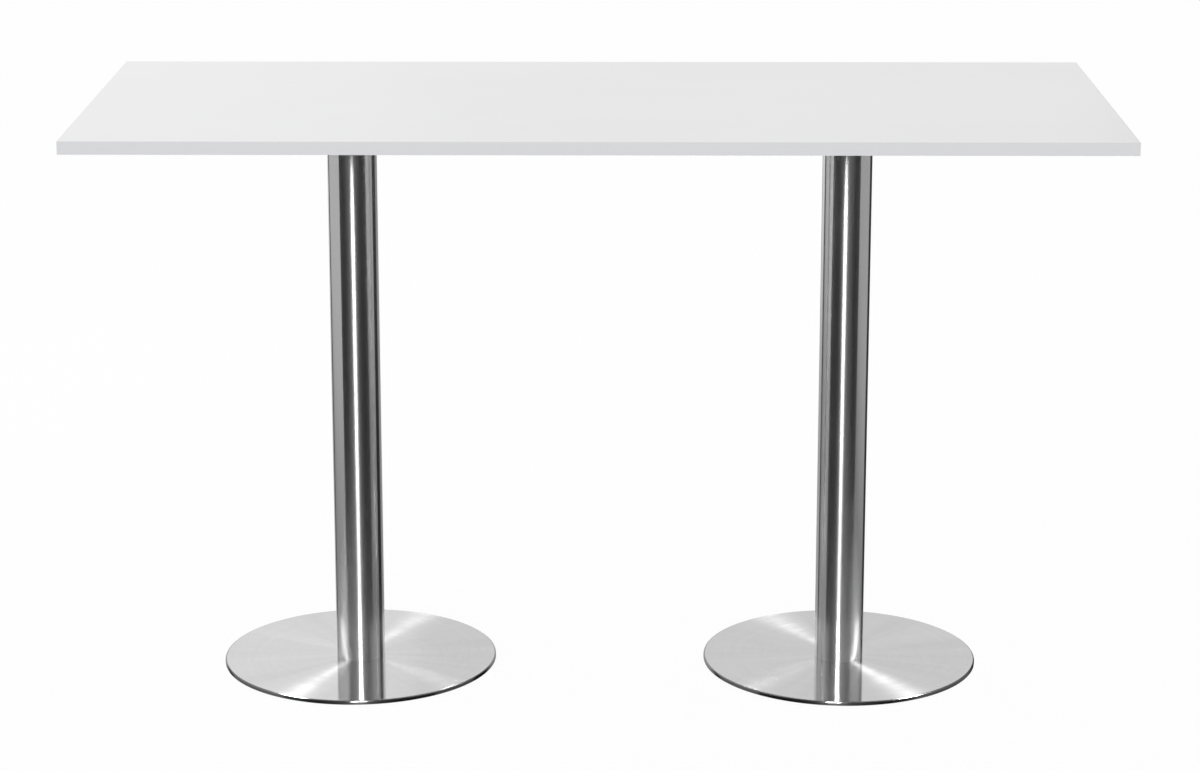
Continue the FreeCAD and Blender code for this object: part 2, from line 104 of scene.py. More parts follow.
@dataclass(frozen=True)
class Noise:
    """A kind of soft noise, which runs from 0 to 1 and mostly stays near its middle.

    The scale is the number of features in a metre, and the squeeze says how many times denser
    they lie along each axis. The detail is the number of finer layers, and the roughness is
    how strong those are.
    """

    scale: float
    detail: float = 2.0
    roughness: float = 0.5
    squeeze: Point = EVEN


class Signal:
    """A node's output that can be used in arithmetic with numbers and other signals."""

    def __init__(self, graph: Graph, socket: bpy.types.NodeSocket) -> None:
        """Wrap an output socket of a graph."""
        self.graph = graph
        self.socket = socket

    def __add__(self, other: Number) -> Signal:
        """Add a number or a signal."""
        return self.graph.math("ADD", self, other)

    def __radd__(self, other: Number) -> Signal:
        """Add to a number."""
        return self.graph.math("ADD", other, self)

    def __sub__(self, other: Number) -> Signal:
        """Subtract a number or a signal."""
        return self.graph.math("SUBTRACT", self, other)

    def __rsub__(self, other: Number) -> Signal:
        """Subtract from a number."""
        return self.graph.math("SUBTRACT", other, self)

    def __mul__(self, other: Number) -> Signal:
        """Multiply by a number or a signal."""
        return self.graph.math("MULTIPLY", self, other)

    def __rmul__(self, other: Number) -> Signal:
        """Multiply a number."""
        return self.graph.math("MULTIPLY", other, self)

    def __truediv__(self, other: Number) -> Signal:
        """Divide by a number or a signal."""
        return self.graph.math("DIVIDE", self, other)

    def __rtruediv__(self, other: Number) -> Signal:
        """Divide a number by this signal."""
        return self.graph.math("DIVIDE", other, self)

    def at_least(self, other: Number) -> Signal:
        """Take the greater of this signal and another."""
        return self.graph.math("MAXIMUM", self, other)

    def at_most(self, other: Number) -> Signal:
        """Take the lesser of this signal and another."""
        return self.graph.math("MINIMUM", self, other)

    def swing(self, amount: float) -> Signal:
        """Centre noise on zero and scale it."""
        return (self - NOISE_MIDDLE) * amount

    def blend(self, other: Signal, share: float) -> Signal:
        """Blend with another signal, where the share is this signal's own."""
        return self * share + other * (1.0 - share)

    def between(self, low: float, high: float) -> Signal:
        """Rise smoothly from 0 to 1 as the signal goes from low to high.

        Args:
            low: where the rise starts.
            high: where the rise ends.

        Returns:
            The risen signal.
        """
        settings = {"interpolation_type": "SMOOTHSTEP"}
        sockets = {"Value": self, "From Min": low, "From Max": high}
        return self.graph.signal("ShaderNodeMapRange", settings, sockets)


class Graph:
    """The nodes of one material or of the world."""

    def __init__(self, tree: bpy.types.NodeTree) -> None:
        """Start from a node tree, without the nodes that it comes with."""
        self.tree = tree
        self.tree.nodes.clear()

    def feed(self, socket: bpy.types.NodeSocket, value: Feed) -> None:
        """Link a signal to an input socket, or set the socket to a plain value.

        Args:
            socket: the input socket.
            value: a signal, a number, or the parts of a colour or vector.
        """
        if isinstance(value, Signal):
            self.tree.links.new(value.socket, socket)
        elif socket.type == "RGBA":
            socket.default_value = (*value, 1.0)
        else:
            socket.default_value = value

    def node(self, kind: str, settings: Settings | None, sockets: Sockets | None) -> bpy.types.Node:
        """Make one node.

        Args:
            kind: Blender's name of the node's type.
            settings: the node's own properties, which are set first.
            sockets: values or signals by the name or index of the input socket.

        Returns:
            The new node.
        """
        made = self.tree.nodes.new(kind)
        for name, value in (settings or {}).items():
            setattr(made, name, value)
        for name, value in (sockets or {}).items():
            self.feed(made.inputs[name], value)
        return made

    def signal(
        self, kind: str, settings: Settings | None, sockets: Sockets | None, output: int | str = 0
    ) -> Signal:
        """Make one node and wrap the output of the given name or index."""
        return Signal(self, self.node(kind, settings, sockets).outputs[output])

    def math(self, operation: str, *values: Number) -> Signal:
        """Work out one operation on numbers."""
        return self.signal("ShaderNodeMath", {"operation": operation}, dict(enumerate(values)))

    def vector(self, operation: str, first: Feed, second: Feed) -> Signal:
        """Work out one operation on two vectors."""
        return self.signal("ShaderNodeVectorMath", {"operation": operation}, {0: first, 1: second})

    def join(self, x: Number, y: Number, z: Number) -> Signal:
        """Make a vector from three numbers or signals."""
        return self.signal("ShaderNodeCombineXYZ", None, {"X": x, "Y": y, "Z": z})

    def split(self, vector: Signal) -> tuple[Signal, Signal, Signal]:
        """Take a vector apart into its three numbers."""
        made = self.node("ShaderNodeSeparateXYZ", None, {"Vector": vector})
        return tuple(Signal(self, socket) for socket in made.outputs)

    def place(self) -> Signal:
        """Give the point's place in the table's frame, in metres."""
        return self.signal("ShaderNodeTexCoord", None, None, "Object")

    def ray(self, kind: str) -> Signal:
        """Tell one kind of rays, such as Camera or Glossy, from the others."""
        return self.signal("ShaderNodeLightPath", None, None, f"Is {kind} Ray")

    def mix(self, factor: Number, first: Feed, second: Feed, blend: Blend = Blend.COLOURS) -> Signal:
        """Blend two colours or two vectors.

        Args:
            factor: 0 for the first one, 1 for the second.
            first: a colour, a vector or a signal.
            second: the same sort of thing as the first.
            blend: which sort of thing that is.

        Returns:
            The blend of the two.
        """
        data_type, first_input, second_input, output = blend.value
        sockets = {"Factor": factor, first_input: first, second_input: second}
        return self.signal("ShaderNodeMix", {"data_type": data_type}, sockets, output)

    def tones(self, factor: Number, colour: Colour, spread: float) -> Signal:
        """Go from a darker tone of a colour to a lighter one."""
        return self.mix(factor, shade(colour, 1.0 - spread), shade(colour, 1.0 + spread))

    def noise(self, kind: Noise, where: Signal | None = None) -> Signal:
        """Make noise.

        Args:
            kind: the kind of noise.
            where: the point that it is looked up at, or None for the place in the frame.

        Returns:
            The noise, from 0 to 1.
        """
        point = self.place() if where is None else where
        if kind.squeeze != EVEN:
            point = self.vector("MULTIPLY", point, kind.squeeze)
        sockets = {"Vector": point, "Scale": kind.scale}
        sockets |= {"Detail": kind.detail, "Roughness": kind.roughness}
        return self.signal("ShaderNodeTexNoise", None, sockets)

    def cells(self, where: Signal, scale: float, feature: str, output: str) -> Signal:
        """Make a pattern of cells and give one of its outputs."""
        sockets = {"Vector": where, "Scale": scale}
        return self.signal("ShaderNodeTexVoronoi", {"feature": feature}, sockets, output)

    def bump(
        self, height: Signal, distance: float, strength: float = 1.0, normal: Signal | None = None
    ) -> Signal:
        """Turn a height into a normal.

        Args:
            height: the height, as a share of the distance.
            distance: the depth of the relief in metres.
            strength: how much of the relief shows.
            normal: the normal to bend, or None for the mesh's own.

        Returns:
            The bent normal.
        """
        sockets = {"Strength": strength, "Distance": distance, "Height": height}
        if normal is not None:
            sockets["Normal"] = normal
        return self.signal("ShaderNodeBump", None, sockets)


# What makes a shader in a new graph.
Painter = Callable[[Graph], Signal]


def make_material(name: str, shader: Painter) -> bpy.types.Material:
    """Make a material.

    Args:
        name: the material's name.
        shader: what makes its shader in the new graph.

    Returns:
        The new material.
    """
    made = bpy.data.materials.new(name)
    made.use_nodes = True
    graph = Graph(made.node_tree)
    graph.node("ShaderNodeOutputMaterial", None, {"Surface": shader(graph)})
    return made


@dataclass(frozen=True)
class Surface:
    """What varies over one finish, as worked out by its paint() method."""

    colour: Feed
    roughness: Number
    normal: Signal
    metallic: float = 0.0


@dataclass(frozen=True)
class Finish:
    """The base of every finish, named after the one piece of the frame that wears it.

    In the finishes, a swing is how far a pattern moves the roughness, a share is how much a
    pattern counts in a blend, a spread is how far a colour goes to its darker and lighter
    tones, and a span is where a mask rises from 0 to 1. A harshness is how strong the finer
    layers of a noise are, and the relief is how much of a depth shows.
    """

    name: str

    def paint(self, graph: Graph) -> Surface:
        """Work out what varies over the surface."""
        raise NotImplementedError

    def principled(self, graph: Graph, surface: Surface, **constants: float) -> Signal:
        """Make a Principled shader of a surface.

        Args:
            graph: the material's nodes.
            surface: what varies over the surface.
            constants: sockets that are the same all over it, with underscores for spaces.

        Returns:
            The shader.
        """
        sockets = {name.replace("_", " "): value for name, value in constants.items()}
        sockets |= {"Base Color": surface.colour, "Roughness": surface.roughness}
        sockets |= {"Metallic": surface.metallic, "Normal": surface.normal}
        return graph.signal("ShaderNodeBsdfPrincipled", None, sockets)

    def shader(self, graph: Graph) -> Signal:
        """Make the shader of the finish."""
        return self.principled(graph, self.paint(graph))

    def dress(self) -> None:
        """Give the whole surface of the finish's piece one new material."""
        material = make_material(self.name, self.shader)
        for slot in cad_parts[self.name].material_slots:
            slot.material = material
        LOG.info("%s: %s", self.name, type(self).__name__)


@dataclass(frozen=True)
class Laminate(Finish):
    """Satin high-pressure laminate: a plain colour with a fine pearl grain and faint wiping marks."""

    colour: Colour
    roughness: float = 0.42
    grain_size: float = 0.0011
    grain_depth: float = 0.00002
    grain_harshness: float = 0.6
    grain_swing: float = 0.06
    relief: float = 0.5
    cloud: Noise = Noise(2.4, 4.0)
    cloud_span: Span = (0.3, 0.7)
    cloud_share: float = 0.6
    spread: float = 0.015
    wipe: Noise = Noise(1.7, 5.0, 0.6, (1.0, 5.0, 5.0))
    wipe_swing: float = 0.16

    def paint(self, graph: Graph) -> Surface:
        """Work out the cloudy tone, the wiping marks and the pearl grain.

        Args:
            graph: the material's nodes.

        Returns:
            The laminate's surface.
        """
        grain = graph.noise(Noise(1.0 / self.grain_size, roughness=self.grain_harshness))
        cloud = graph.noise(self.cloud).between(*self.cloud_span)
        tone = graph.tones(cloud.blend(grain, self.cloud_share), self.colour, self.spread)
        wiped = self.roughness + graph.noise(self.wipe).swing(self.wipe_swing)
        roughness = wiped + grain.swing(self.grain_swing)
        return Surface(tone, roughness, graph.bump(grain, self.grain_depth, self.relief))


@dataclass(frozen=True)
class EdgeBand(Finish):
    """An extruded edge band: long faint drawing lines under a slow change of tone."""

    colour: Colour
    edge: Edge
    roughness: float = 0.38
    line_width: float = 0.0012
    line_stretch: float = 0.01
    line_harshness: float = 0.6
    line_depth: float = 0.00003
    line_share: float = 0.5
    line_swing: float = 0.12
    relief: float = 0.5
    cloud: Noise = Noise(3.0, 3.0)
    cloud_share: float = 0.3
    cloud_swing: float = 0.1
    speck: Noise = Noise(420.0, 1.0)
    speck_share: float = 0.2
    spread: float = 0.03

    def paint(self, graph: Graph) -> Surface:
        """Work out the drawing lines along the band, its slow changes of tone and its specks.

        Args:
            graph: the material's nodes.

        Returns:
            The band's surface.
        """
        stretch = self.line_stretch
        squeeze = (stretch, 1.0, 1.0) if self.edge.is_long else (1.0, stretch, 1.0)
        lines = graph.noise(Noise(1.0 / self.line_width, roughness=self.line_harshness, squeeze=squeeze))
        cloud = graph.noise(self.cloud)
        specks = graph.noise(self.speck) * self.speck_share
        tint = lines * self.line_share + cloud * self.cloud_share + specks
        tone = graph.tones(tint, self.colour, self.spread)
        roughness = self.roughness + lines.swing(self.line_swing) + cloud.swing(self.cloud_swing)
        return Surface(tone, roughness, graph.bump(lines, self.line_depth, self.relief))


@dataclass(frozen=True)
class ParticleBoard(Finish):
    """Raw particle board: pressed chips of several browns with dark glue lines."""

    pale: Colour = (0.66, 0.52, 0.36)
    dark: Colour = (0.34, 0.23, 0.13)
    roughness: float = 0.82
    chip: float = 0.0035
    chip_squeeze: Point = (1.0, 0.7, 2.4)
    chip_share: float = 0.7
    glue_width: float = 0.12
    glue_shade: float = 0.7
    dust: Noise = Noise(900.0, 3.0, 0.7)
    dust_swing: float = 0.2
    dust_height: float = 0.4
    depth: float = 0.0002
    relief: float = 0.6

    def paint(self, graph: Graph) -> Surface:
        """Work out the chips, the glue and dust between them, and their rough relief.

        Args:
            graph: the material's nodes.

        Returns:
            The raw board's surface.
        """
        pressed = graph.vector("MULTIPLY", graph.place(), self.chip_squeeze)
        tint, *_ = graph.split(graph.cells(pressed, 1.0 / self.chip, "F1", "Color"))
        gaps = graph.cells(pressed, 1.0 / self.chip, "DISTANCE_TO_EDGE", "Distance")
        dust = graph.noise(self.dust)
        chips = graph.mix(tint.blend(dust, self.chip_share), self.dark, self.pale)
        tone = graph.mix(gaps.between(0.0, self.glue_width), shade(self.dark, self.glue_shade), chips)
        roughness = self.roughness + dust.swing(self.dust_swing)
        height = gaps + dust * self.dust_height
        return Surface(tone, roughness, graph.bump(height, self.depth, self.relief))


@dataclass(frozen=True)
class Turned(Finish):
    """Metal worked round an axis: its scratches are rings on a disc and hoops on a tube.

    The scratches blur a reflection across themselves and leave it sharp along themselves, so
    the blur is turned by a quarter from the tangent. A scratch has a width, and a length as an
    angle in radians round the axis. The broad bands of scratches are some times wider and
    longer. The unevenness and the smudge are how far the scratches and the smudges of use
    move the roughness. The rays are slow changes of tone from one direction to the next.
    """

    axis: Plan
    colour: Colour = (0.66, 0.66, 0.66)
    roughness: float = 0.29
    scratch: float = 0.0009
    scratch_turn: float = 0.12
    scratch_harshness: float = 0.55
    depth: float = 0.00001
    fine_detail: float = 2.0
    fine_share: float = 0.55
    broad_detail: float = 3.0
    broad_width: float = 5.0
    broad_turn: float = 2.5
    contrast: float = 0.05
    unevenness: float = 0.06
    smudge: float = 0.04
    smudge_noise: Noise = Noise(6.0, 4.0, 0.6)
    smudge_span: Span = (0.42, 0.75)
    rays: float = 0.0
    ray_noise: Noise = Noise(1.0, 3.0, 0.6, (5.0, 5.0, 3.0))
    blur_turn: float = 0.25

    def polar(self, graph: Graph) -> tuple[Signal, Signal, Signal, Signal]:
        """Find a point's place round the axis.

        Args:
            graph: the material's nodes.

        Returns:
            The two parts of the direction from the axis, the radius and the height.
        """
        x, y, z = graph.split(graph.vector("SUBTRACT", graph.place(), (*self.axis, 0.0)))
        radius = graph.math("SQRT", x * x + y * y)
        return x / radius, y / radius, radius, z

    def rings(self, graph: Graph, width: float, turn: float, detail: float) -> Signal:
        """Make scratches that run round the axis.

        Args:
            graph: the material's nodes.
            width: the width of a scratch in metres.
            turn: the length of a scratch in radians of the turn.
            detail: how many finer layers are added.

        Returns:
            Noise from 0 to 1 that changes fast across the scratches and slowly along them.
        """
        x, y, radius, z = self.polar(graph)
        unrolled = graph.join(x / turn, y / turn, (radius + z) / width)
        return graph.noise(Noise(1.0, detail, self.scratch_harshness), unrolled)

    def ground(self, graph: Graph) -> Signal | None:
        """Give the normal that the scratches bend, or None for the mesh's own."""
        return None

    def paint(self, graph: Graph) -> Surface:
        """Work out fine scratches, broader bands of them, rays and the smudges of use.

        Args:
            graph: the material's nodes.

        Returns:
            The turned surface.
        """
        fine = self.rings(graph, self.scratch, self.scratch_turn, self.fine_detail)
        broad_scratch = self.scratch * self.broad_width
        broad = self.rings(graph, broad_scratch, self.scratch_turn * self.broad_turn, self.broad_detail)
        x, y, radius, _ = self.polar(graph)
        rays = graph.noise(self.ray_noise, graph.join(x, y, radius)).swing(self.rays)
        tone = graph.tones(fine.blend(broad, self.fine_share) + rays, self.colour, self.contrast)
        smudges = graph.noise(self.smudge_noise).between(*self.smudge_span)
        uneven = (fine + broad - 2.0 * NOISE_MIDDLE) * self.unevenness
        roughness = self.roughness + uneven + smudges * self.smudge
        normal = graph.bump(fine + broad, self.depth, normal=self.ground(graph))
        return Surface(tone, roughness, normal, metallic=1.0)

    def smear(self, graph: Graph, surface: Surface, strength: float = 1.0) -> Signal:
        """Make a shader whose blur lies across the scratches."""
        return self.principled(graph, surface, Anisotropic=strength, Anisotropic_Rotation=self.blur_turn)

    def shader(self, graph: Graph) -> Signal:
        """Make the shader of the finish."""
        return self.smear(graph, self.paint(graph))


@dataclass(frozen=True)
class BrushedSteel(Turned):
    """Stainless steel brushed over a polish: narrow lands still mirror, and the scratches smear.

    The share of the lands follows bands of scratches, whose width and swing are given as
    multiples of the width of a scratch and of the unevenness.
    """

    land_share: float = 0.66
    land_roughness: float = 0.1
    land_smear: float = 0.9
    land_width: float = 3.0
    land_swing: float = 4.0

    def shader(self, graph: Graph) -> Signal:
        """Blend the smear of the scratches with the sharper image in the lands.

        Args:
            graph: the material's nodes.

        Returns:
            The blended shader.
        """
        surface = self.paint(graph)
        lands = replace(surface, roughness=surface.roughness * (self.land_roughness / self.roughness))
        broad = self.rings(graph, self.scratch * self.land_width, self.scratch_turn, self.fine_detail)
        share = self.land_share + broad.swing(self.unevenness * self.land_swing)
        sockets = {0: share, 1: self.smear(graph, surface), 2: self.smear(graph, lands, self.land_smear)}
        return graph.signal("ShaderNodeMixShader", None, sockets)


@dataclass(frozen=True)
class Rim:
    """The rounded rim of a foot.

    Its shoulder bends down round a ring of the given radius and height, and its skirt ends at
    the hem's height.
    """

    radius: float
    height: float
    bend: float
    hem: float


@dataclass(frozen=True, kw_only=True)
class SpunSteel(BrushedSteel):
    """Brushed steel spun to a disc, whose rim carries painted shade, a darker colour so that it mirrors
    darker, and blurs a reflection more.
    """

    rim: Rim
    rim_fade: float = 0.0005
    rim_blur: float = 0.35
    # How dark the rim's painted shade is, as a share of the steel's colour.
    rim_painted_shade: float = 0.42

    def ground(self, graph: Graph) -> Signal:
        """Work out the exact normal of the rounded rim, which the facets of its mesh only come near.

        Args:
            graph: the material's nodes.

        Returns:
            The rim's own normal on its shoulder and skirt, and the mesh's normal elsewhere.
        """
        rim = self.rim
        x, y, radius, z = self.polar(graph)
        outward = radius - rim.radius
        spun = graph.join(x * outward, y * outward, (z - rim.height).at_least(0.0))
        unit = graph.vector("MULTIPLY", spun, (1.0 / rim.bend,) * 3)
        on_rim = outward.between(0.0, HAIR) * z.between(rim.hem, rim.hem + HAIR)
        mesh = graph.signal("ShaderNodeNewGeometry", None, None, "Normal")
        return graph.mix(on_rim, mesh, unit, Blend.VECTORS)

    def paint(self, graph: Graph) -> Surface:
        """Paint shade onto the rim by darkening its colour, and blur the brushed surface there.

        Args:
            graph: the material's nodes.

        Returns:
            The surface of the disc and its rim.
        """
        disc = super().paint(graph)
        _, _, radius, _ = self.polar(graph)
        on_rim = radius.between(self.rim.radius - self.rim_fade, self.rim.radius + self.rim_fade)
        # Painted shade: the rim's colour is darkened so that the rim mirrors darker than the disc.
        tone = graph.mix(on_rim, disc.colour, shade(self.colour, self.rim_painted_shade))
        return replace(disc, colour=tone, roughness=disc.roughness * (1.0 + on_rim * self.rim_blur))


@dataclass(frozen=True)
class Coating(Finish):
    """A sprayed coat on iron or steel: lacquer or powder, with its orange peel and rubbed places."""

    colour: Colour = (0.03, 0.03, 0.032)
    rubbed: Colour = (0.12, 0.12, 0.118)
    roughness: float = 0.45
    peel_size: float = 0.0016
    peel_depth: float = 0.00006
    peel_swing: float = 0.14
    relief: float = 0.8
    cloud: Noise = Noise(9.0, 3.0, 0.55)
    scuff: Noise = Noise(60.0, 5.0, 0.7)
    scuff_share: float = 0.6
    rub_span: Span = (0.5, 0.6)
    rub_share: float = 0.8
    rub_blur: float = 0.14

    def paint(self, graph: Graph) -> Surface:
        """Work out the orange peel and the rubbed places.

        Args:
            graph: the material's nodes.

        Returns:
            The coat's surface.
        """
        peel = graph.noise(Noise(1.0 / self.peel_size))
        cloud = graph.noise(self.cloud)
        rub = graph.noise(self.scuff).blend(cloud, self.scuff_share).between(*self.rub_span)
        tone = graph.mix(rub.blend(cloud, self.rub_share), self.colour, self.rubbed)
        roughness = self.roughness + peel.swing(self.peel_swing) + rub * self.rub_blur
        return Surface(tone, roughness, graph.bump(peel, self.peel_depth, self.relief))


@dataclass(frozen=True)
class PlatedSteel(Finish):
    """Plated or blackened fasteners: cloudy passivation over fine tool marks."""

    colour: Colour = (0.6, 0.61, 0.62)
    stain: Colour = (0.62, 0.59, 0.5)
    roughness: float = 0.34
    cloud: Noise = Noise(120.0, 3.0, 0.6)
    cloud_swing: float = 0.2
    stain_span: Span = (0.35, 0.7)
    mark: Noise = Noise(1.0 / 0.0006, 2.0, 0.6, (1.0, 1.0, 6.0))
    mark_swing: float = 0.1
    mark_depth: float = 0.00002
    relief: float = 0.7

    def paint(self, graph: Graph) -> Surface:
        """Work out the cloudy plating and the tool marks.

        Args:
            graph: the material's nodes.

        Returns:
            The plated surface.
        """
        cloud = graph.noise(self.cloud)
        marks = graph.noise(self.mark)
        tone = graph.mix(cloud.between(*self.stain_span), self.colour, self.stain)
        roughness = self.roughness + cloud.swing(self.cloud_swing) + marks.swing(self.mark_swing)
        return Surface(tone, roughness, graph.bump(marks, self.mark_depth, self.relief), metallic=1.0)


@dataclass(frozen=True)
class Nylon(Finish):
    """Moulded nylon: a dark grey with flow marks and a scuffed sole."""

    colour: Colour = (0.045, 0.045, 0.047)
    scuffed: Colour = (0.13, 0.13, 0.125)
    roughness: float = 0.5
    flow: Noise = Noise(220.0, 4.0, 0.6, (1.0, 1.0, 3.0))
    flow_swing: float = 0.2
    flow_depth: float = 0.00004
    relief: float = 0.7
    scuff: Noise = Noise(500.0, 3.0, 0.6, (1.0, 4.0, 1.0))
    scuff_span: Span = (0.45, 0.65)
    scuff_blur: float = 0.2
    sole_height: float = 0.0006

    def paint(self, graph: Graph) -> Surface:
        """Work out the flow marks, and the scuffs where the pad rubs on the floor.

        Args:
            graph: the material's nodes.

        Returns:
            The pad's surface.
        """
        flow = graph.noise(self.flow)
        *_, height = graph.split(graph.place())
        sole = 1.0 - height.between(0.0, self.sole_height)
        worn = sole * graph.noise(self.scuff).between(*self.scuff_span)
        tone = graph.mix(worn, self.colour, self.scuffed)
        roughness = self.roughness + flow.swing(self.flow_swing) + worn * self.scuff_blur
        return Surface(tone, roughness, graph.bump(flow, self.flow_depth, self.relief))


@dataclass
class Top:
    """The panel: core, laminate, balancing sheet and four edge bands."""

    laminate: Colour = (0.84, 0.84, 0.842)
    balancer: Colour = (0.8, 0.8, 0.795)
    band: Colour = (0.785, 0.79, 0.806)

    def dress(self) -> None:
        """Finish every piece of the panel."""
        Laminate("top_laminate", self.laminate).dress()
        Laminate(
            "top_balancer", self.balancer, roughness=0.5, grain_size=0.0016, grain_depth=0.00003
        ).dress()
        ParticleBoard("top_core").dress()
        for edge in Edge:
            EdgeBand(f"band_{edge.value}", self.band, edge).dress()


@dataclass
class Glide:
    """One levelling glide: a swivelling pad on a threaded stem."""

    name: str

    def dress(self) -> None:
        """Finish the pad and its stem."""
        Nylon(f"{self.name}_pad").dress()
        PlatedSteel(f"{self.name}_stem").dress()


@dataclass
class Pedestal:
    """A foot, its column and the head under the top, held together by one rod.

    The shoulder is the radius of the bend round the foot, and the hem's bend is the height of
    the fold at the foot of its skirt.
    """

    side: Side
    shoulder: float = 0.0025
    hem_bend: float = 0.0012
    hub: Colour = (0.5, 0.5, 0.5)
    plate: Colour = (0.05, 0.05, 0.052)
    blackened: Colour = (0.09, 0.09, 0.095)
    blackened_stain: Colour = (0.13, 0.12, 0.11)

    @property
    def axis(self) -> Plan:
        """Find the column's axis.

        Returns:
            Its place on the floor plan.
        """
        low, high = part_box(f"{self.side.value}_column_tube")
        middle = (low + high) / 2.0
        return middle.x, middle.y

    @property
    def rim(self) -> Rim:
        """Find the rounded rim of the foot.

        Returns:
            The rim, at its place in the frame.
        """
        side = self.side.value
        low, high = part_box(f"{side}_base_cover")
        radius = (high.x - low.x) / 2.0 - self.shoulder
        return Rim(radius, high.z - self.shoulder, self.shoulder, low.z + self.hem_bend)

    def cover(self) -> SpunSteel:
        """Choose the finish of the foot: clear lands between coarse rings, and strong rays.

        Returns:
            The finish.
        """
        return SpunSteel(
            f"{self.side.value}_base_cover",
            self.axis,
            roughness=0.24,
            scratch=0.0018,
            scratch_turn=0.25,
            depth=0.0000006,
            contrast=0.09,
            unevenness=0.04,
            rays=1.0,
            land_share=0.92,
            land_roughness=0.11,
            rim=self.rim,
        )

    def tube(self) -> BrushedSteel:
        """Choose the finish of the column: even hoops, finer and longer than the foot's rings.

        Returns:
            The finish.
        """
        return BrushedSteel(
            f"{self.side.value}_column_tube",
            self.axis,
            roughness=0.3,
            scratch=0.0004,
            scratch_turn=0.5,
            depth=0.0000005,
            unevenness=0.01,
        )

    def inner_parts(self) -> Iterator[Finish]:
        """List the finishes of the parts that hold the foot, the column and the top together.

        Returns:
            One finish for each part.
        """
        side = self.side.value
        yield Turned(
            f"{side}_base_hub", self.axis, self.hub, roughness=0.4, scratch=0.0005, scratch_turn=6.0
        )
        yield Coating(f"{side}_base_plate", self.plate, roughness=0.38)
        yield Coating(f"{side}_spider", peel_size=0.0012, peel_depth=0.0001, roughness=0.55)
        yield PlatedSteel(f"{side}_hub_screws", self.blackened, self.blackened_stain)
        for part in ("top_screws", "tie_rod", "rod_washer", "rod_nut"):
            yield PlatedSteel(f"{side}_{part}")

    def glides(self) -> Iterator[Glide]:
        """List the four glides under the foot.

        Returns:
            The glides, row by row.
        """
        for row in Row:
            for place in Place:
                yield Glide(f"{self.side.value}_{row.value}_{place.value}")

    def dress(self) -> None:
        """Finish every piece of the pedestal and its glides."""
        for piece in (self.cover(), self.tube(), *self.inner_parts(), *self.glides()):
            piece.dress()


def make_sheet(
    name: str, corners: Sequence[Point], shader: Painter, unseen_by: Sequence[str]
) -> bpy.types.Object:
    """Make a four-cornered sheet of the studio and put it in the scene.

    Args:
        name: the name of the object, its mesh and its material.
        corners: the corners in their order round the sheet.
        shader: what makes its shader.
        unseen_by: the kinds of rays that pass it by.

    Returns:
        The new object.
    """
    mesh = bpy.data.meshes.new(name)
    mesh.from_pydata(corners, [], [(0, 1, 2, 3)])
    mesh.materials.append(make_material(name, shader))
    sheet = bpy.data.objects.new(name, mesh)
    for ray in unseen_by:
        setattr(sheet, f"visible_{ray}", False)
    bpy.context.scene.collection.objects.link(sheet)
    return sheet


@dataclass(frozen=True)
class Softbox:
    """A rectangular lamp that the camera doesn't see.

    A lamp with a collection lights only the pieces in it, and they mirror it: what draws a
    bright wedge or line in brushed steel would burn out the white top.
    """

    name: str
    centre: Point
    facing: Point
    width: float
    height: float
    radiance: float
    only_on: bpy.types.Collection | None = None

    def build(self) -> None:
        """Hang the lamp in its place, turned towards the point that it faces."""
        light = bpy.data.lights.new(self.name, "AREA")
        light.shape = "RECTANGLE"
        light.size = self.width
        light.size_y = self.height
        light.energy = self.radiance * self.width * self.height * math.pi
        lamp = bpy.data.objects.new(self.name, light)
        lamp.location = self.centre
        direction = Vector(self.facing) - Vector(self.centre)
        lamp.rotation_euler = direction.to_track_quat("-Z", "Y").to_euler()
        lamp.visible_camera = False
        if self.only_on:
            lamp.light_linking.receiver_collection = self.only_on
        else:
            lamp.visible_glossy = False
        bpy.context.scene.collection.objects.link(lamp)
        LOG.info("%s: %.2f x %.2f m", self.name, self.width, self.height)


@dataclass(frozen=True)
class Wall:
    """A glowing wall or a hanging black cloth beside the table that only the metal shows.

    It reaches below the floor, as its image in a polished floor would, and is dimmer there. The
    front and the back are the places of its two ends on the floor plan.
    """

    name: str
    front: Plan
    back: Plan
    level: float
    bottom: float = -2.5
    top: float = 1.35
    dim_below: float = -0.4
    full_above: float = 0.45
    dimmed: float = 0.5

    def glow(self, graph: Graph) -> Signal:
        """Make the wall glow at its level, and less towards its bottom.

        Args:
            graph: the material's nodes.

        Returns:
            The shader.
        """
        *_, height = graph.split(graph.place())
        lift = height.between(self.dim_below, self.full_above)
        strength = (self.dimmed + lift * (1.0 - self.dimmed)) * self.level
        return graph.signal("ShaderNodeEmission", None, {"Strength": strength})

    def build(self) -> None:
        """Stand the wall up."""
        feet = [(*self.front, self.bottom), (*self.back, self.bottom)]
        heads = [(*self.back, self.top), (*self.front, self.top)]
        unseen_by = ("camera", "diffuse", "transmission", "volume_scatter", "shadow")
        wall = make_sheet(self.name, feet + heads, self.glow, unseen_by)
        LOG.info("%s: level %.2f", self.name, self.level)


@dataclass(frozen=True)
class Floor:
    """The pale floor, which the camera sees as nearly white with a faint shadow."""

    size: float = 60.0
    colour: Colour = (0.9, 0.9, 0.9)
    glow: float = 0.93

    def paint(self, graph: Graph) -> Signal:
        """Let the floor glow for the camera, and be plain paint for all else.

        Args:
            graph: the material's nodes.

        Returns:
            The shader.
        """
        seen = graph.ray("Camera") + graph.ray("Transmission")
        paint = graph.signal("ShaderNodeBsdfDiffuse", None, {"Color": self.colour})
        white = graph.signal("ShaderNodeEmission", None, {"Strength": 1.0})
        return graph.signal("ShaderNodeMixShader", None, {0: seen * self.glow, 1: paint, 2: white})

    def build(self) -> None:
        """Lay the floor."""
        half = self.size / 2.0
        corners = [(-half, -half, 0.0), (half, -half, 0.0), (half, half, 0.0), (-half, half, 0.0)]
        floor = make_sheet("floor", corners, self.paint, ("glossy",))
        LOG.info("floor: %.0f m square", self.size)


